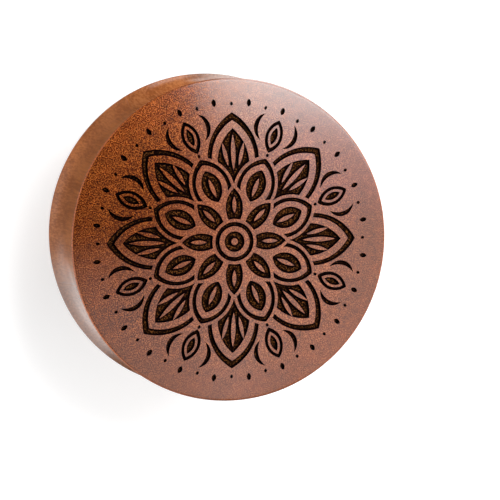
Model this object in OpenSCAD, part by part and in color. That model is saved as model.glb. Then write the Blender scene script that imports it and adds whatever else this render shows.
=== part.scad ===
// Double flared ear plug, turned from one piece of hardwood, with a lotus rosette engraved in its domed front.
// It lies on its back face: Z is the plug's axis, and the origin is the centre of that face.

/* [Plug] */
// Diameter of the waist, where the earlobe sits
gauge_d = 38; // [32:0.5:45]
// Height of each flare above the waist
flare_h = 1.5; // [1:0.1:2]
// Length from the back face to the front edge
length = 14; // [12:0.5:18]
// Length of the straight stretch of the waist
waist_l = 4; // [2:0.5:5]
// Radius of the rounded edge of each flare
edge_r = 0.3; // [0.2:0.05:0.6]
// Rise of the domed front above its edge
dome_h = 2.1; // [1:0.1:3]

/* [Engraving] */
// Share of the front's radius that the engraving reaches
reach_share = 0.88; // [0.7:0.01:0.92]
// Depth of the engraving below the domed front
engrave_h = 0.35; // [0.2:0.05:0.6]
// Number of petals in each ring of the rosette
petals = 8; // [6:1:9]
// Width of the bare line round a petal that lies over others
line_w = 0.38; // [0.3:0.02:0.5]

/* [Hidden] */
$fn = 96;
TURN_FN = 192;
DOME_FN = 720;

waist_r = gauge_d / 2;
flare_r = waist_r + flare_h;
edge_x = flare_r - edge_r;
flare_z = (length - waist_l) / 2;
height = length + dome_h;

// The hollow curve of a flare starts on the waist and runs smoothly into the rounded edge
hollow_r = ((flare_z - edge_r) ^ 2 + flare_h ^ 2) / (2 * flare_h) - edge_r;
hollow_x = waist_r + hollow_r;

// The dome is part of a ball that runs smoothly into the front edge
dome_r = (edge_x ^ 2 + dome_h ^ 2) / (2 * dome_h) + edge_r;
dome_z = height - dome_r;

// Centres of the section's arcs, and a point outside the dome on the line where it meets the front edge
back_edge = [edge_x, edge_r];
front_edge = [edge_x, length - edge_r];
back_hollow = [hollow_x, flare_z];
front_hollow = [hollow_x, length - flare_z];
beyond_edge = front_edge + (front_edge - [0, dome_z]) * 2 * edge_r / (dome_r - edge_r);

reach = flare_r * reach_share;
half_turn = 180 / petals;
wreath_count = 3 * petals;
tool_z = length - engrave_h;

// Petals of the rosette: each row is where it starts, where it ends and half its width, as shares of the reach
START = 0;
END = 1;
HALF = 2;
OUTER = [0.260, 0.900, 0.185];
OUTER_BARE = [0.300, 0.845, 0.155];
OUTER_LEAF = [0.300, 0.790, 0.115];
OUTER_VEIN = [0.500, 0.745, 0.016];
MIDDLE = [0.200, 0.620, 0.135];
MIDDLE_BARE = [0.250, 0.580, 0.108];
MIDDLE_LEAF = [0.300, 0.535, 0.070];
MIDDLE_VEIN = [0.335, 0.475, 0.014];
INNER = [0.100, 0.375, 0.062];
INNER_VEIN = [0.200, 0.315, 0.014];
BUD = [0.665, 0.905, 0.062];
BUD_BARE = [0.700, 0.875, 0.040];
BUD_SEED = [0.725, 0.850, 0.024];
DART = [0.632, 0.658, 0.011];
WREATH_LEAF = [0.945, 1.000, 0.016];
WREATH_SEED = [0.945, 0.973, 0.011];

// Side veins of an outer leaf and the claws beside a bud: where they start, their length and how they lean
SIDE_VEIN_AT = [0.530, 0.038];
SIDE_VEIN_L = 0.165;
SIDE_VEIN_HALF = 0.013;
SIDE_VEIN_LEAN = 14;
CLAW_AT = [0.728, 0.086];
CLAW_L = 0.188;
CLAW_BOW = 0.066;
CLAW_W = 0.032;
CLAW_LEAN = 8;

// Rings about the centre, and the circles inside which no middle or outer petal shows, as shares of the reach
HEART_R = 0.072;
HEART_HOLE_R = 0.024;
COLLAR_R = [0.108, 0.138];
MIDDLE_CLEAR_R = 0.275;
OUTER_CLEAR_R = 0.400;

WOOD = [0.62, 0.40, 0.28];

// Radius of an arc over a chord of half length a that rises by b
function arc_r(a, b) = (a ^ 2 + b ^ 2) / (2 * b);

// Pointed petal along X between two arcs, made wider all round by grow
module blade(shares, grow = 0) {
    start = shares[START] * reach;
    end = shares[END] * reach;
    half = shares[HALF] * reach;
    side_r = arc_r((end - start) / 2, half);
    intersection_for(side = [1, -1])
        translate([(start + end) / 2, side * (half - side_r)])
            circle(side_r + grow);
}

// Crescent from the origin along X that bows to one side
module claw(side) {
    chord = CLAW_L * reach / 2;
    out_bow = CLAW_BOW * reach;
    in_bow = (CLAW_BOW - CLAW_W) * reach;
    out_r = arc_r(chord, out_bow);
    in_r = arc_r(chord, in_bow);
    difference() {
        translate([chord, side * (out_bow - out_r)])
            circle(out_r);
        translate([chord, side * (in_bow - in_r)])
            circle(in_r);
    }
}

module spread(count, first = 0) {
    for (i = [0:count - 1])
        rotate(first + 360 / count * i)
            children();
}

// A petal, cut back to a bare line along the two petals of the next ring that lie over it
module behind(over) {
    difference() {
        children();
        for (side = [1, -1])
            rotate(side * half_turn)
                blade(over, line_w);
    }
}

module outer_petal() {
    behind(MIDDLE)
        difference() {
            blade(OUTER);
            blade(OUTER_BARE);
            circle(OUTER_CLEAR_R * reach);
        }
    behind(MIDDLE)
        difference() {
            blade(OUTER_LEAF);
            blade(OUTER_VEIN);
            circle(OUTER_CLEAR_R * reach);
            for (side = [1, -1])
                translate([SIDE_VEIN_AT.x, side * SIDE_VEIN_AT.y] * reach)
                    rotate(side * SIDE_VEIN_LEAN)
                        blade([0, SIDE_VEIN_L, SIDE_VEIN_HALF]);
        }
}

module middle_petal() {
    behind(INNER)
        difference() {
            blade(MIDDLE);
            blade(MIDDLE_BARE);
            circle(MIDDLE_CLEAR_R * reach);
        }
    behind(INNER)
        difference() {
            blade(MIDDLE_LEAF);
            blade(MIDDLE_VEIN);
        }
}

module inner_petal() {
    difference() {
        blade(INNER);
        blade(INNER_VEIN);
        circle(COLLAR_R[1] * reach + line_w);
    }
}

module bud() {
    difference() {
        blade(BUD);
        blade(BUD_BARE);
    }
    blade(BUD_SEED);
    blade(DART);
    for (side = [1, -1])
        translate([CLAW_AT.x, side * CLAW_AT.y] * reach)
            rotate(side * CLAW_LEAN)
                claw(side);
}

module heart() {
    difference() {
        circle(COLLAR_R[1] * reach);
        circle(COLLAR_R[0] * reach);
    }
    difference() {
        circle(HEART_R * reach);
        circle(HEART_HOLE_R * reach);
    }
}

module rosette() {
    heart();
    spread(petals)
        inner_petal();
    spread(petals, half_turn)
        middle_petal();
    spread(petals)
        outer_petal();
    spread(petals, half_turn)
        bud();
    spread(wreath_count, 180 / wreath_count)
        blade(WREATH_LEAF);
    spread(wreath_count)
        blade(WREATH_SEED);
}

// Half of the plug's section: flat back, hollow waist between two flares, rounded edges and domed front
module section() {
    difference() {
        intersection() {
            polygon([
                [0, 0],
                [edge_x, 0],
                back_edge,
                back_hollow,
                front_hollow,
                front_edge,
                beyond_edge,
                [0, height + dome_h]
            ]);
            translate([0, dome_z])
                circle(dome_r, $fn = DOME_FN);
        }
        translate([waist_r, flare_z])
            square([hollow_r, waist_l]);
        for (centre = [back_hollow, front_hollow])
            translate(centre)
                circle(hollow_r);
    }
    for (centre = [back_edge, front_edge])
        translate(centre)
            circle(edge_r);
}

// The rosette as a tool that reaches down to a set depth below the dome
module engraving() {
    difference() {
        translate([0, 0, tool_z])
            linear_extrude(height)
                rosette();
        translate([0, 0, dome_z])
            sphere(dome_r - engrave_h, $fn = DOME_FN);
    }
}

module plug_body() {
    color(WOOD)
        difference() {
            rotate_extrude($fn = TURN_FN)
                section();
            engraving();
        }
}

plug_body();
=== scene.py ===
"""A double flared ear plug of reddish hardwood, with a lotus rosette engraved in its domed front."""

import math
from functools import reduce

import bpy
import numpy as np
from mathutils import Matrix, Vector
from mathutils.geometry import delaunay_2d_cdt


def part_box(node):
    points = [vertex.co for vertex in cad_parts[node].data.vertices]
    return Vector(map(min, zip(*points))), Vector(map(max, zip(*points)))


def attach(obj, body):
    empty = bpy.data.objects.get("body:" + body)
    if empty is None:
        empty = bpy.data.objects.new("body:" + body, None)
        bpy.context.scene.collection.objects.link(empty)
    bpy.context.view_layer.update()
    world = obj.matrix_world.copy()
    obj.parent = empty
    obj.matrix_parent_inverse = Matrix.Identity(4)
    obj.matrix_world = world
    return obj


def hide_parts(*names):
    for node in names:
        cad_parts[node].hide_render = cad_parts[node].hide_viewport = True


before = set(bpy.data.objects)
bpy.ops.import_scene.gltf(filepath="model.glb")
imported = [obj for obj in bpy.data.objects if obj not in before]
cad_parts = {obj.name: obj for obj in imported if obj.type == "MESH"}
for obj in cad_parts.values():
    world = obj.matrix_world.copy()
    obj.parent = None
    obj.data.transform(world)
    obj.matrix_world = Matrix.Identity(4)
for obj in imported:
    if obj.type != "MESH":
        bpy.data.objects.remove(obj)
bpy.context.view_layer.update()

MM = 0.001

# The plug's section, in millimetres: its radius and height come from the solid
low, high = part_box("plug_body")
FLARE_R = round((high.x - low.x) / 2 / MM, 1)
HEIGHT = round((high.z - low.z) / MM, 1)
FLARE_H = 1.5
DOME_H = 2.1
EDGE_R = 0.3
WAIST_L = 4.0
LENGTH = HEIGHT - DOME_H
WAIST_R = FLARE_R - FLARE_H
EDGE_X = FLARE_R - EDGE_R
FLARE_Z = (LENGTH - WAIST_L) / 2
HOLLOW_R = ((FLARE_Z - EDGE_R) ** 2 + FLARE_H**2) / (2 * FLARE_H) - EDGE_R
HOLLOW_X = WAIST_R + HOLLOW_R
DOME_R = (EDGE_X**2 + DOME_H**2) / (2 * DOME_H) + EDGE_R
DOME_Z = HEIGHT - DOME_R

# The engraving: its sizes in millimetres, and how many petals and leaves a ring has
REACH_SHARE = 0.88
REACH = REACH_SHARE * FLARE_R
ENGRAVE_H = 0.35
LINE_W = 0.38
PETALS = 8
WREATH = 3 * PETALS

# How the face's middle is meshed, in millimetres: it ends a margin past the engraving
FACE_MARGIN = 0.6
FACE_R = REACH + FACE_MARGIN
OUTLINE_STEP = 0.14
GRID_STEP = 0.85
GRID_CLEAR = 0.18

# Points of that mesh nearer than this, in millimetres, are one, and all are rounded to so many digits
WELD = 0.002
WELD_DIGITS = 3

# The grid's rows stand this many times as far apart as those of an even one
ROW_STRETCH = 1.16

# How many steps the mesh has round the axis, and along each stretch of the section
SEGMENTS = 384
SHORTEST_ARC_STEPS = 6
DOME_STEPS = 5
EDGE_STEPS = 12
HOLLOW_STEPS = 16
WAIST_STEPS = 5

# The rings on the flat back, as shares of its radius
BACK_RINGS = (0.9, 0.6, 0.3)

# The plug's finishes, by their place in its list of materials
END, POCKET, SIDE = range(3)

# The back, which has the face's finish, ends at this height in millimetres
BACK_CLEAR = 0.01


def least(*values):
    """The smallest of some arrays or shader values."""
    return reduce(Value.least if isinstance(values[0], Value) else np.minimum, values)


def most(*values):
    """The largest of some arrays or shader values."""
    return reduce(Value.most if isinstance(values[0], Value) else np.maximum, values)


def weighted(base, *rows):
    """A base with shares of some shader values added: each row is a share and what it is a share of."""
    return sum((part * share for share, part in rows), base)


class Value:
    """A shader socket that Python's operators turn into Math nodes."""

    def __init__(self, paint, socket):
        self.paint = paint
        self.socket = socket

    def math(self, operation, *values):
        return self.paint.value(self.paint.node("ShaderNodeMath", {"operation": operation}, *values))

    def __add__(self, other):
        return self.math("ADD", self, other)

    __radd__ = __add__

    def __sub__(self, other):
        return self.math("SUBTRACT", self, other)

    def __rsub__(self, other):
        return self.math("SUBTRACT", other, self)

    def __mul__(self, other):
        return self.math("MULTIPLY", self, other)

    __rmul__ = __mul__

    def __neg__(self):
        return self.math("MULTIPLY", self, -1.0)

    def __pow__(self, power):
        return self.math("POWER", self, power)

    def __abs__(self):
        return self.math("ABSOLUTE", self)

    def least(self, other):
        return self.math("MINIMUM", self, other)

    def most(self, other):
        return self.math("MAXIMUM", self, other)

    def step(self, start, end):
        """0 before start and 1 after end, with a smooth rise between. start may be the larger one."""
        if start > end:
            return 1 - self.step(end, start)
        smooth = {"interpolation_type": "SMOOTHSTEP"}
        return self.paint.value(self.paint.node("ShaderNodeMapRange", smooth, self, start, end))


def length(x, y):
    """Distance from the origin, for arrays or shader values."""
    return (x * x + y * y) ** 0.5


def pingpong(angle, half):
    """The angle folded to and fro between 0 and half."""
    if isinstance(angle, Value):
        return angle.math("PINGPONG", angle, half)
    return np.abs(np.mod(angle - half, 2 * half) - half)


def cosine(angle):
    return angle.math("COSINE", angle) if isinstance(angle, Value) else np.cos(angle)


def sine(angle):
    return angle.math("SINE", angle) if isinstance(angle, Value) else np.sin(angle)


def arc(centre, radius, start, end):
    """Points along an arc, as complex numbers."""
    steps = max(SHORTEST_ARC_STEPS, math.ceil(abs(end - start) * radius / OUTLINE_STEP))
    return centre + radius * np.exp(1j * np.linspace(start, end, steps + 1))


# The rosette. Each shape gives its edge as points, and how far any point lies outside it
class Disc:
    """A round, with its radius as a share of the reach and what is added to it in millimetres."""

    def __init__(self, radius, grow=0.0):
        self.radius = radius * REACH + grow

    def outside(self, place):
        return place.radius - self.radius

    def edge(self):
        return arc(0, self.radius, 0, 2 * math.pi)[:-1]


class Blade:
    """A pointed petal between two arcs: its start, its end and half its width, as shares of the reach.

    at moves it by shares of the reach, lean turns it in degrees and grow widens it in millimetres."""

    def __init__(self, start, end, half, at=(0, 0), lean=0.0, grow=0.0):
        self.chord = (end - start) / 2 * REACH
        self.bow = half * REACH
        self.middle = (start + end) / 2 * REACH
        self.side_r = (self.chord**2 + self.bow**2) / (2 * self.bow)
        self.drop = self.side_r - self.bow
        self.side_r += grow
        self.at = complex(*at) * REACH
        self.lean = math.radians(lean)

    def outside(self, place):
        x, y = place.moved(self.at, self.lean)
        return length(x - self.middle, abs(y) + self.drop) - self.side_r

    def edge(self):
        half_angle = math.acos(self.drop / self.side_r)
        side = arc(-1j * self.drop, self.side_r, math.pi / 2 - half_angle, math.pi / 2 + half_angle)
        points = np.concatenate([side[:-1], -side[:-1]]) + self.middle
        return points * np.exp(1j * self.lean) + self.at


class Claw:
    """A crescent of two arcs on one chord along X, as shares of the reach, and its lean in degrees."""

    def __init__(self, chord, bow, width, at, lean):
        self.chord = chord / 2 * REACH
        self.bows = [bow * REACH, (bow - width) * REACH]
        self.radii = [(self.chord**2 + b**2) / (2 * b) for b in self.bows]
        self.at = complex(*at) * REACH
        self.lean = math.radians(lean)

    def outside(self, place):
        x, y = place.moved(self.at, self.lean)
        far, near = (length(x - self.chord, y + r - b) - r for r, b in zip(self.radii, self.bows))
        return most(far, -near)

    def edge(self):
        sides = []
        for r, b in zip(self.radii, self.bows):
            half_angle = math.asin(self.chord / r)
            centre = self.chord + 1j * (b - r)
            sides.append(arc(centre, r, math.pi / 2 - half_angle, math.pi / 2 + half_angle))
        points = np.concatenate([sides[0][:-1], sides[1][::-1][:-1]])
        return points * np.exp(1j * self.lean) + self.at


class Place:
    """A point of the face, folded into one mirrored sector of a ring of shapes."""

    def __init__(self, radius, angle, count, first):
        folded = pingpong(angle - first + 2 * math.pi, math.pi / count)
        self.radius = radius
        self.x = radius * cosine(folded)
        self.y = radius * sine(folded)

    def moved(self, at, lean):
        """The point as seen from a shape that stands at a place and leans."""
        if at == 0 and lean == 0:
            return self.x, self.y
        x, y = self.x - at.real, self.y - at.imag
        return x * math.cos(lean) + y * math.sin(lean), y * math.cos(lean) - x * math.sin(lean)


# The rings that the shapes repeat in: how many, and the angle of the first
ON = (PETALS, 0.0)
BETWEEN = (PETALS, math.pi / PETALS)
WREATH_ON = (WREATH, 0.0)
WREATH_BETWEEN = (WREATH, math.pi / WREATH)

# Shapes that others stop at, a line's width clear of them
COLLAR = 0.138
INNER = (0.100, 0.375, 0.062)
MIDDLE = (0.200, 0.620, 0.135)
OVER_OUTER = [(BETWEEN, Blade(*MIDDLE, grow=LINE_W)), (ON, Disc(0.400))]
OVER_MIDDLE = [(ON, Blade(*INNER, grow=LINE_W))]

# Each engraved piece: its ring, its shape, and the rings and shapes that are left bare in it
PIECES = [
    (ON, Disc(COLLAR), [(ON, Disc(0.108))]),
    (ON, Disc(0.072), [(ON, Disc(0.024))]),
    (ON, Blade(*INNER), [(ON, Blade(0.200, 0.315, 0.014)), (ON, Disc(COLLAR, LINE_W))]),
    (BETWEEN, Blade(*MIDDLE), [(BETWEEN, Blade(0.250, 0.580, 0.108)), (ON, Disc(0.275))] + OVER_MIDDLE),
    (BETWEEN, Blade(0.300, 0.535, 0.070), [(BETWEEN, Blade(0.335, 0.475, 0.014))] + OVER_MIDDLE),
    (ON, Blade(0.260, 0.900, 0.185), [(ON, Blade(0.300, 0.845, 0.155))] + OVER_OUTER),
    (ON, Blade(0.300, 0.790, 0.115), [
        (ON, Blade(0.500, 0.745, 0.016)),
        (ON, Blade(0.000, 0.165, 0.013, at=(0.530, 0.038), lean=14)),
    ] + OVER_OUTER),
    (BETWEEN, Blade(0.665, 0.905, 0.062), [(BETWEEN, Blade(0.700, 0.875, 0.040))]),
    (BETWEEN, Blade(0.725, 0.850, 0.024), []),
    (BETWEEN, Blade(0.632, 0.658, 0.011), []),
    (BETWEEN, Claw(0.188, 0.066, 0.032, at=(0.728, 0.086), lean=8), []),
    (WREATH_BETWEEN, Blade(0.945, 1.000, 0.016), []),
    (WREATH_ON, Blade(0.945, 0.973, 0.011), []),
]


def outside_engraving(radius, angle):
    """Millimetres from a point of the face to the engraving, and less than 0 inside it."""
    places = {}

    def outside(ring, shape):
        if ring not in places:
            places[ring] = Place(radius, angle, *ring)
        return shape.outside(places[ring])

    return least(*(most(outside(ring, shape), *(-outside(*bare) for bare in bares))
                   for ring, shape, bares in PIECES))


def outlines():
    """The edges of the rosette's shapes, as points, and only once where pieces share a shape."""
    drawn = {id(shape): (ring, shape) for ring, shape, _ in PIECES}
    drawn.update({id(shape): (ring, shape) for _, _, bares in PIECES for ring, shape in bares})
    for (count, first), shape in drawn.values():
        edge = shape.edge()
        if isinstance(shape, Disc):
            yield edge
            continue
        sides = [edge, edge.conj()] if shape.at.imag else [edge]
        for side in sides:
            for turn in range(count):
                yield side * np.exp(1j * (first + 2 * math.pi * turn / count))


def dome(points, depth=0.0):
    """Heights of the domed face over some points, or of the engraving's floor at a depth below it."""
    return DOME_Z + np.sqrt((DOME_R - depth) ** 2 - np.abs(points) ** 2)


def face_triangles():
    """The face's middle: its points, its triangles, which of them are engraved, and its outer ring.

    The triangles have an edge along every outline of the rosette."""
    ring = FACE_R * np.exp(2j * math.pi * np.arange(SEGMENTS) / SEGMENTS)
    steps = np.arange(-FACE_R, FACE_R, GRID_STEP)
    rows = np.arange(len(steps))[:, None]
    across = steps[None, :] + GRID_STEP / 2 * (rows % 2)
    along = steps[:, None] * math.sqrt(3) / 2 * ROW_STRETCH
    grid = (across + 1j * along).ravel()
    grid = grid[np.abs(grid) < FACE_R - GRID_STEP / 2]
    grid = grid[np.abs(outside_engraving(np.abs(grid), np.angle(grid))) > GRID_CLEAR]

    loops = [ring] + list(outlines())
    points = np.concatenate(loops + [grid])
    edges = []
    start = 0
    for loop in loops:
        count = len(loop)
        edges += [(start + i, start + (i + 1) % count) for i in range(count)]
        start += count
    spots = [Vector((p.real, p.imag)) for p in points]
    found, _, faces, sources, *_ = delaunay_2d_cdt(spots, edges, [], 0, WELD)

    found = np.round([complex(v.x, v.y) for v in found], WELD_DIGITS)
    corners, one = np.unique(found, return_inverse=True)
    triangles = one[np.array([list(f) for f in faces])]
    triangles = triangles[(triangles != np.roll(triangles, 1, axis=1)).all(axis=1)]
    ring_at = {}
    for new, olds in enumerate(sources):
        ring_at.update({old: one[new] for old in olds if old < SEGMENTS})

    a, b, c = corners[triangles].T
    turned = ((b - a).conj() * (c - a)).imag < 0
    triangles[turned] = triangles[turned][:, ::-1]
    middle = corners[triangles].mean(axis=1)
    engraved = outside_engraving(np.abs(middle), np.angle(middle)) < 0
    return corners, triangles, engraved, [ring_at[i] for i in range(SEGMENTS)]


def turned_section():
    """Radii and heights of the section, from the face's meshed middle round to the back's last ring."""
    front_edge = complex(EDGE_X, LENGTH - EDGE_R)
    back_edge = complex(EDGE_X, EDGE_R)
    front_hollow = complex(HOLLOW_X, LENGTH - FLARE_Z)
    back_hollow = complex(HOLLOW_X, FLARE_Z)
    dome_centre = complex(0, DOME_Z)

    def sweep(centre, radius, start, end, steps):
        return [centre + radius * np.exp(1j * a) for a in np.linspace(start, end, steps + 1)]

    rim = np.angle(front_edge - dome_centre)
    tip = np.angle(front_hollow - front_edge)
    waist = np.linspace(LENGTH - FLARE_Z, FLARE_Z, WAIST_STEPS + 1)
    section = sweep(dome_centre, DOME_R, math.acos(FACE_R / DOME_R), rim, DOME_STEPS)[1:-1]
    section += sweep(front_edge, EDGE_R, rim, tip, EDGE_STEPS)
    section += sweep(front_hollow, HOLLOW_R, tip + math.pi, math.pi, HOLLOW_STEPS)[1:]
    section += [complex(WAIST_R, z) for z in waist[1:]]
    section += sweep(back_hollow, HOLLOW_R, math.pi, math.pi - tip, HOLLOW_STEPS)[1:]
    section += sweep(back_edge, EDGE_R, -tip, -math.pi / 2, EDGE_STEPS)[1:]
    section += [complex(share * EDGE_X, 0) for share in BACK_RINGS]
    return section


def turned_plug():
    """The whole plug as one closed mesh: the engraved face, its pockets, the sides and the back."""
    corners, triangles, engraved, ring = face_triangles()
    count = len(corners)
    top = np.stack([corners.real, corners.imag, dome(corners)], axis=1)
    floor = np.stack([corners.real, corners.imag, dome(corners, ENGRAVE_H)], axis=1)
    points = list(top) + list(floor)

    faces = [tuple(t) for t in triangles[~engraved]]
    finish = [END] * len(faces)
    faces += [tuple(t + count) for t in triangles[engraved]]
    pocket_edges = {(t[i], t[(i + 1) % 3]) for t in triangles[engraved].tolist() for i in range(3)}
    sharp = []
    for t in triangles[~engraved].tolist():
        for i in range(3):
            a, b = t[i], t[(i + 1) % 3]
            if (b, a) in pocket_edges:
                faces.append((a, a + count, b + count, b))
                sharp += [(a, b), (a + count, b + count)]
    finish += [POCKET] * (len(faces) - len(finish))

    before = ring
    turns = np.exp(2j * math.pi * np.arange(SEGMENTS) / SEGMENTS)
    for spot in turned_section():
        start = len(points)
        around = spot.real * turns
        points += [np.array([p.real, p.imag, spot.imag]) for p in around]
        after = list(range(start, start + SEGMENTS))
        faces += [(before[i], after[i], after[(i + 1) % SEGMENTS], before[(i + 1) % SEGMENTS])
                  for i in range(SEGMENTS)]
        finish += [SIDE if BACK_CLEAR < spot.imag < LENGTH - EDGE_R else END] * SEGMENTS
        before = after
    points.append(np.array([0.0, 0.0, 0.0]))
    faces += [(before[i], len(points) - 1, before[(i + 1) % SEGMENTS]) for i in range(SEGMENTS)]
    finish += [END] * SEGMENTS

    used = sorted({i for face in faces for i in face})
    place = {old: new for new, old in enumerate(used)}
    mesh = bpy.data.meshes.new("plug")
    mesh.from_pydata([Vector(points[i]) * MM for i in used], [], [[place[i] for i in f] for f in faces])
    mesh.polygons.foreach_set("material_index", finish)
    mesh.shade_smooth()
    sharp = {frozenset((place[a], place[b])) for a, b in sharp}
    for edge in mesh.edges:
        edge.use_edge_sharp = frozenset(edge.vertices) in sharp
    plug = bpy.data.objects.new("plug", mesh)
    bpy.context.scene.collection.objects.link(plug)
    return plug


# Where a Mix node keeps its colour inputs and output, past those for other kinds of value
MIX_FACTOR, MIX_A, MIX_B = 0, 6, 7
MIX_COLOUR = 2


class Paint:
    """A material's nodes."""

    def __init__(self, name):
        self.material = bpy.data.materials.new(name)
        self.material.use_nodes = True
        self.tree = self.material.node_tree
        self.shader = self.tree.nodes["Principled BSDF"]

    def node(self, kind, settings=None, *values, **named):
        """A new node: its settings, then its sockets' values or links, in order or by name."""
        node = self.tree.nodes.new(kind)
        for name, value in (settings or {}).items():
            setattr(node, name, value)
        for socket, value in list(zip(node.inputs, values)):
            self.put(socket, value)
        for name, value in named.items():
            self.put(node.inputs[name.replace("_", " ")], value)
        return node

    def put(self, socket, value):
        if isinstance(value, Value):
            value = value.socket
        if isinstance(value, bpy.types.NodeSocket):
            self.tree.links.new(value, socket)
        else:
            socket.default_value = value

    def value(self, node, output=0):
        return Value(self, node.outputs[output])

    def spot(self, scale=(1, 1, 1)):
        """The place on the plug in millimetres, each way times a scale."""
        place = self.node("ShaderNodeTexCoord").outputs["Object"]
        sizes = tuple(s / MM for s in scale)
        return self.node("ShaderNodeVectorMath", {"operation": "MULTIPLY"}, place, sizes).outputs[0]

    def turned_spot(self, degrees, scale):
        """The same for a place turned about the plug's axis, so that X runs along those degrees."""
        spot = self.node("ShaderNodeVectorRotate", {"rotation_type": "Z_AXIS"}, self.spot(),
                         Angle=-math.radians(degrees)).outputs[0]
        return self.node("ShaderNodeVectorMath", {"operation": "MULTIPLY"}, spot, scale).outputs[0]

    def place(self):
        """X, Y and Z on the plug, each a value in millimetres."""
        parts = self.node("ShaderNodeSeparateXYZ", {}, self.spot())
        return [self.value(parts, i) for i in range(3)]

    def noise(self, spot, scale, detail=3.0, rough=0.5):
        return self.value(self.node(
            "ShaderNodeTexNoise", {}, Vector=spot, Scale=scale, Detail=detail, Roughness=rough))

    def mix(self, factor, a, b, blend="MIX"):
        node = self.node("ShaderNodeMix", {"data_type": "RGBA", "blend_type": blend})
        self.put(node.inputs[MIX_FACTOR], factor)
        self.put(node.inputs[MIX_A], a)
        self.put(node.inputs[MIX_B], b)
        return node.outputs[MIX_COLOUR]

    def finish(self, **sockets):
        for name, value in sockets.items():
            self.put(self.shader.inputs[name.replace("_", " ")], value)
        return self.material


# Colours of the wood and of its burnt engraving, with painted sheen, glint and shade among them
END_DARK = (0.040, 0.006, 0.001, 1)
END_MID = (0.146, 0.029, 0.005, 1)
END_LIGHT = (0.370, 0.108, 0.026, 1)
END_CALM = (0.175, 0.040, 0.009, 1)
# A pale mauve painted over the upper right of the face as a painted sheen
END_MAUVE_SHEEN = (0.190, 0.070, 0.075, 1)
SIDE_DARK = (0.240, 0.070, 0.018, 1)
SIDE_LIGHT = (0.400, 0.138, 0.042, 1)
# The wedge's tint: partly the wood's golden hue, partly painted to take out the paleness of sheen
WEDGE_GOLD_AND_SHADE = (1.000, 0.930, 0.640, 1)
RIM_WOOD = (0.500, 0.130, 0.035, 1)
# A pale colour painted on the top of the rim as a painted glint
PALE_RIM_GLINT = (0.400, 0.240, 0.210, 1)
# A tint painted on the upper left of the sides, redder and a little lighter, to take out the paleness of
# sheen
WALL_RED_AGAINST_SHEEN = (1.060, 1.000, 0.860, 1)
# Black along the engraving's walls: partly burnt char, partly painted shade
BLACK_CHAR_AND_SHADE = (0.003, 0.001, 0.001, 1)
BROWN_CHAR = (0.015, 0.006, 0.002, 1)
GOLD_CHAR = (0.125, 0.043, 0.011, 1)

# Where a noise takes the wood or the char from one colour to the next: the start and end of the change
DARK_TO_MID = (0.34, 0.50)
MID_TO_LIGHT = (0.52, 0.66)
SIDE_CHANGE = (0.30, 0.70)
LINE_CHANGE = (0.34, 0.62)
BLACK_TO_BROWN = (0.39, 0.54)
BROWN_TO_GOLD = (0.54, 0.66)

# How strong the marks in the wood and the painted mauve sheen are, as shares
STREAKS = 0.14
BANDS = 0.5
WEDGE_SPECKLE = 0.25
MAUVE_SHEEN = 0.25
MOTTLE = 0.9
WEDGE_MOTTLE = 0.5
CLOUDS = 0.5

# The pores' relief: its height in metres, its strength, what the mottle adds and what the ends take
PORE_H = 0.00001
PORES = 0.5
PORE_MOTTLE = 1.5
PORE_ENDS = 0.5

# How rough each finish is
END_ROUGH = 0.26
SIDE_ROUGH = 0.32
CHAR_ROUGH = 0.9
FLOOR_ROUGH = 0.9

# The line round the edge: how far past the dome it starts and is full, in millimetres
LINE_START = 0.12
LINE_FULL = 0.20

# How far inside the engraving's walls its floor starts to show and shows in full, in millimetres; nearer
# the walls the char is black, partly burnt and partly painted shade
FLOOR_SHOWS = (0.15, 0.34)


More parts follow.
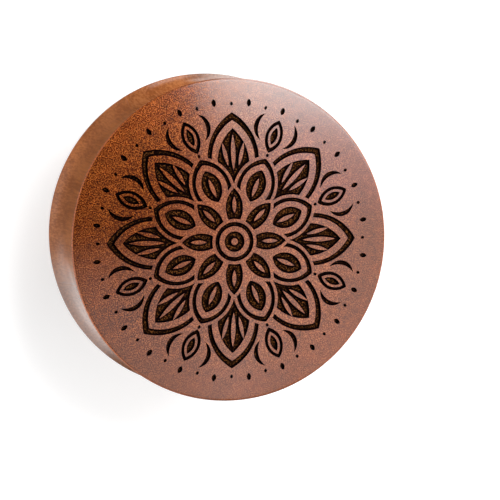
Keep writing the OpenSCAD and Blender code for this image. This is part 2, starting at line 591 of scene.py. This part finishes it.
def end_grain():
    """The face and the back: cut fibres show as a fine speckle, with a redder line round the edge.

    across and along are X and Y as shares of the flare's radius. A part is 1 inside and 0 outside it."""
    paint = Paint("end_grain")
    x, y, _ = paint.place()
    radius = length(x, y)
    across, along = x * (1 / FLARE_R), y * (1 / FLARE_R)
    wedge = (along * 0.35 - across * 0.9).step(0.28, 0.62) * along.step(-0.2, 0.15)
    ends = abs(along).step(0.5, 0.9) * (1 - wedge)
    left = across.step(-0.6, -0.9) * (1 - wedge)
    lower_left = across.step(-0.2, -0.7) * along.step(0, -0.5)
    upper_right = across.step(0, 0.5) * along.step(0, 0.4)

    # The speckle, calmer in some parts, and in the wedge at the upper left a deeper gold, partly the
    # wood's own hue and partly painted to take the sheen's paleness out
    specks = paint.noise(paint.spot((1, 1, 0.06)), scale=7.0, detail=1.0, rough=0.6)
    streaks = paint.noise(paint.turned_spot(32, (0.22, 1.3, 0.1)), scale=1.0, detail=3.0, rough=0.6)
    tone = specks + (streaks - 0.5) * STREAKS
    tone = tone + (tone - 0.5) * wedge * WEDGE_SPECKLE
    calm = weighted(
        0.36,
        (-0.36, wedge),
        (0.15, ends),
        (-0.12, left),
        (-0.30, lower_left),
        (-0.15, upper_right),
    )
    colour = paint.mix(tone.step(*DARK_TO_MID), END_DARK, END_MID)
    colour = paint.mix(tone.step(*MID_TO_LIGHT), colour, END_LIGHT)
    colour = paint.mix(calm, colour, END_CALM)
    colour = paint.mix(wedge, colour, WEDGE_GOLD_AND_SHADE, "MULTIPLY")
    # Painted sheen: the upper right is mixed towards a pale mauve
    colour = paint.mix(upper_right * MAUVE_SHEEN, colour, END_MAUVE_SHEEN)

    # How light the wood is: partly its own figure, mottle and clouds, and partly painted shade and
    # light, darker to the left, in the wedge and towards the edges, lighter to the upper right, with a
    # painted shadow at the right edge below the middle and painted light near the rim at the right and
    # lower left
    mottle = paint.noise(paint.spot((1, 1, 0.1)), scale=1.5, detail=2.0, rough=0.65) - 0.5
    clouds = paint.noise(paint.turned_spot(20, (0.3, 0.45, 0.1)), scale=1.0, detail=2.0) - 0.5
    light = weighted(
        1.04,
        (0.12, across),
        (0.08, along),
        (-0.31, across * across),
        (-0.13, along * along),
        (-0.11, across * along),
        (-0.21, wedge),
        (0.12, wedge * radius.step(0.65 * FLARE_R, 0.95 * FLARE_R)),
        # Painted shadow along the right edge below the middle
        (-0.20, across.step(0.55, 0.95) * along.step(0.45, 0)),
        (-0.20, across * along.most(0)),
        (-0.30, (across - 0.1) * along.step(0.5, 0.95)),
        (0.07, across.step(-0.6, -0.95)),
        # Painted light near the rim at the right and at the lower left
        (0.14, across.step(0.5, 0.85) * radius.step(0.90 * FLARE_R, 0.97 * FLARE_R)),
        (0.14, lower_left * across.step(-0.5, -0.8) * radius.step(0.7 * FLARE_R, 0.9 * FLARE_R)),
    )
    light = light * (1 + mottle * (wedge * WEDGE_MOTTLE + MOTTLE) + clouds * CLOUDS)
    colour = paint.mix(1.0, colour, light, "MULTIPLY")

    # The line round the edge, broken up by the specks at the left; at the top it gives way to a painted
    # glint in a pale colour
    rim = radius.step(EDGE_X + LINE_START, EDGE_X + LINE_FULL)
    left_rim = rim * across.step(-0.5, -0.85)
    right_rim = rim * across.step(0.5, 0.85)
    low_rim = rim * across.step(0, -0.4) * along.step(-0.45, -0.7)
    top_rim_glint = rim * along.step(0.65, 0.9) * across.step(-0.15, 0.15)
    broken = weighted(0.2, (0.6, specks.step(*LINE_CHANGE)))
    line = weighted(
        0,
        (0.20, rim),
        (-0.20, top_rim_glint),
        (broken, left_rim),
        (0.35, right_rim),
        (0.20, low_rim),
    )
    colour = paint.mix(line, colour, RIM_WOOD)
    # Painted glint: the top of the rim turns pale
    colour = paint.mix(top_rim_glint, colour, PALE_RIM_GLINT)

    relief = (specks * (1 - ends * PORE_ENDS) + mottle * PORE_MOTTLE) * (1 - rim)
    bump = paint.node("ShaderNodeBump", {}, Strength=PORES, Distance=PORE_H, Height=relief)
    rough = weighted(END_ROUGH, (-0.07, wedge), (0.30, left_rim), (0.30, low_rim))
    return paint.finish(Base_Color=colour, Roughness=rough, Normal=bump.outputs[0])


def side_grain():
    """The turned sides: fibres run along the plug's axis as fine streaks.

    across and along are as in end_grain, and z is in millimetres above the back."""
    paint = Paint("side_grain")
    x, y, z = paint.place()
    across, along = x * (1 / FLARE_R), y * (1 / FLARE_R)
    # Parts of the sides that are painted darker or lighter as shade and light
    left = across.step(0, -0.3)
    low_left_shade = left * along.step(-0.12, -0.34)
    waist_shade = left * along.step(0, 0.4) * z.step(3.0, 8.0)
    top = across.step(-0.5, -0.2) * along.step(0.6, 0.9)
    top_end_shade = top * across.step(-0.2, 0.02) * across.step(0.6, 0.3)
    top_polish = across.step(-0.6, -0.35) * along.step(0.5, 0.8)
    back_left_light = across.step(-0.3, -0.6) * along.step(-0.22, 0.05) * along.step(0.75, 0.45)

    streaks = paint.noise(paint.spot((1, 1, 0.05)), scale=4.2, detail=3.0, rough=0.6)
    bands = paint.noise(paint.spot((1, 1, 0.04)), scale=0.5, detail=2.0) - 0.5
    colour = paint.mix((streaks + bands * BANDS).step(*SIDE_CHANGE), SIDE_DARK, SIDE_LIGHT)
    # The sides' lightness is painted light and shade: darker on the lower left, in the waist near the
    # front rim at the upper left and at the top's right end, lighter along the top and on the back
    # flare's outer edge at the left
    light = weighted(
        1,
        (-0.40, low_left_shade),
        (-0.06, waist_shade),
        (0.05, top),
        (0.20, top * z.step(1.0, 2.6)),
        (-0.50, top_end_shade),
        (0.46, back_left_light * z.step(3.6, 0.4)),
    )
    colour = paint.mix(1.0, colour, light, "MULTIPLY")
    # Painted against the sheen: the upper left of the sides is tinted redder
    colour = paint.mix(left * along.step(0, 0.5), colour, WALL_RED_AGAINST_SHEEN, "MULTIPLY")
    rough = weighted(SIDE_ROUGH, (-0.13, top_polish), (-0.05, low_left_shade))
    return paint.finish(Base_Color=colour, Roughness=rough)


def char():
    """The burnt engraving: black along its walls, partly from burning and partly painted shade, with
    brown and gold grit on its floors.
    """
    paint = Paint("char")
    x, y, _ = paint.place()
    inside = -outside_engraving(length(x, y), y.math("ARCTAN2", y, x))
    floor = inside.step(*FLOOR_SHOWS)
    grit = paint.noise(paint.spot(), scale=6.0, detail=1.0, rough=0.6)
    # Black near the walls, partly painted shade; the floor's grit shows further in
    colour = paint.mix(floor * grit.step(*BLACK_TO_BROWN), BLACK_CHAR_AND_SHADE, BROWN_CHAR)
    colour = paint.mix(floor * grit.step(*BROWN_TO_GOLD), colour, GOLD_CHAR)
    return paint.finish(Base_Color=colour, Roughness=CHAR_ROUGH, Specular_IOR_Level=0)


# The floor: half its width in metres, its grey, and its glow, which rises between two radii in mm
FLOOR_REACH = 3.0
FLOOR_GREY = (0.5, 0.5, 0.5, 1)
NEAR_GLOW = (0.62, 0.62, 0.62, 1)
FAR_GLOW = (1, 1, 1, 1)
GLOW_RADII = (150, 1500)


def build_stage():
    mesh = bpy.data.meshes.new("floor")
    corners = [(-1, -1, 0), (1, -1, 0), (1, 1, 0), (-1, 1, 0)]
    mesh.from_pydata([Vector(c) * FLOOR_REACH for c in corners], [], [(0, 1, 2, 3)])
    floor = bpy.data.objects.new("floor", mesh)
    bpy.context.scene.collection.objects.link(floor)
    floor.visible_glossy = False
    floor.visible_shadow = False
    paint = Paint("white_floor")
    x, y, _ = paint.place()
    glow = paint.mix(length(x, y).step(*GLOW_RADII), NEAR_GLOW, FAR_GLOW)
    mesh.materials.append(paint.finish(
        Base_Color=FLOOR_GREY,
        Roughness=FLOOR_ROUGH,
        Specular_IOR_Level=0,
        Emission_Color=glow,
        Emission_Strength=1,
    ))


def turned_to(back, up):
    """A rotation whose Z is back and whose Y is as near to up as it can be."""
    right = Vector(up).cross(back).normalized()
    return Matrix((right, back.cross(right), back)).transposed().to_euler()


# The camera: the photo's angle to the plug, its lens, and the front rim's radius and centre in the frame
CAMERA_WAY = Vector((-0.262, 0.094, 0.960)).normalized()
CAMERA_UP = Vector((0, 1, 0))
FOCAL_PX = 3500
FRAME_PX = 500
SENSOR_MM = 36
RIM_PX = 162
CENTRE_PX = (229.7, 240.0)


def build_camera():
    data = bpy.data.cameras.new("camera")
    data.sensor_width = SENSOR_MM
    data.lens = FOCAL_PX / FRAME_PX * SENSOR_MM
    camera = bpy.data.objects.new("camera", data)
    bpy.context.scene.collection.objects.link(camera)
    distance = FLARE_R * FOCAL_PX / RIM_PX * MM
    right = CAMERA_UP.cross(CAMERA_WAY).normalized()
    up = CAMERA_WAY.cross(right)
    scale = distance / FOCAL_PX
    aim = Vector((0, 0, (LENGTH - EDGE_R) * MM))
    aim += right * (FRAME_PX / 2 - CENTRE_PX[0]) * scale
    aim += up * (CENTRE_PX[1] - FRAME_PX / 2) * scale
    camera.location = aim + CAMERA_WAY * distance
    camera.rotation_euler = turned_to(CAMERA_WAY, CAMERA_UP)
    bpy.context.scene.camera = camera


# Sides of the floor that a light can be on, and how brightly the surroundings shine
ABOVE, BELOW = 1, -1
SURROUNDINGS = 0.04


def softbox(name, way, size, turn, radiance, side=ABOVE, gloss_only=False):
    """A flat light a metre away: X and Y of the way to it, its size in metres, its turn in degrees, how
    brightly it shines and its side of the floor. gloss_only is for one that shows as a shine alone."""
    data = bpy.data.lights.new(name, "AREA")
    data.shape = "RECTANGLE"
    data.size, data.size_y = size
    data.energy = radiance * math.pi * size[0] * size[1]
    light = bpy.data.objects.new(name, data)
    bpy.context.scene.collection.objects.link(light)
    x, y = way
    light.location = (x, y, side * math.sqrt(1 - x * x - y * y))
    light.visible_diffuse = not gloss_only
    turn = math.radians(turn)
    light.rotation_euler = turned_to(light.location, (-math.sin(turn), math.cos(turn), 0))


def build_lights():
    softbox("bright_strip", (0.57, 0.364), (0.86, 0.24), -12, 17.6)
    softbox("right_softbox", (0.56, -0.13), (0.75, 1.02), 0, 2.3)
    softbox("lower_softbox", (0.04, -0.50), (0.56, 0.74), 10, 1.8)
    softbox("top_panel", (0.28, 0.70), (0.30, 0.44), 0, 8)
    softbox("rim_panel", (0.20, 0.70), (0.34, 0.60), 0, 8, gloss_only=True)
    softbox("corner_panel", (0.60, 0.74), (0.50, 0.30), -38, 7, gloss_only=True)
    softbox("right_panel", (0.96, 0.06), (0.24, 0.80), 0, 4, gloss_only=True)
    softbox("left_panel", (-0.88, -0.36), (0.6, 0.5), 0, 4.2)
    softbox("low_panel", (-0.70, -0.61), (0.9, 0.86), 41, 3.2, BELOW, gloss_only=True)
    softbox("under_panel", (-0.37, -0.43), (0.44, 0.44), 0, 2.5, BELOW, gloss_only=True)
    softbox("foot_panel", (-0.05, -0.70), (0.40, 0.48), 0, 1.8, BELOW, gloss_only=True)
    softbox("far_panel", (0.44, 0.70), (0.46, 0.58), 0, 2.9, BELOW, gloss_only=True)
    softbox("back_panel", (0.42, 0.87), (0.50, 0.44), -38, 3.2, BELOW, gloss_only=True)
    softbox("side_panel", (-0.95, 0.24), (0.20, 0.50), 0, 2.0, BELOW, gloss_only=True)
    softbox("edge_panel", (0.00, 0.96), (0.30, 0.16), 0, 3.0, BELOW, gloss_only=True)
    world = bpy.data.worlds.new("studio")
    bpy.context.scene.world = world
    world.use_nodes = True
    background = world.node_tree.nodes["Background"]
    background.inputs["Strength"].default_value = SURROUNDINGS
    background.inputs["Color"].default_value = (1, 1, 1, 1)
    bpy.context.scene.view_settings.view_transform = "Standard"


build_camera()
build_stage()
build_lights()
plug = turned_plug()
for material in (end_grain(), char(), side_grain()):
    plug.data.materials.append(material)
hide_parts("plug_body")
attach(plug, "root")
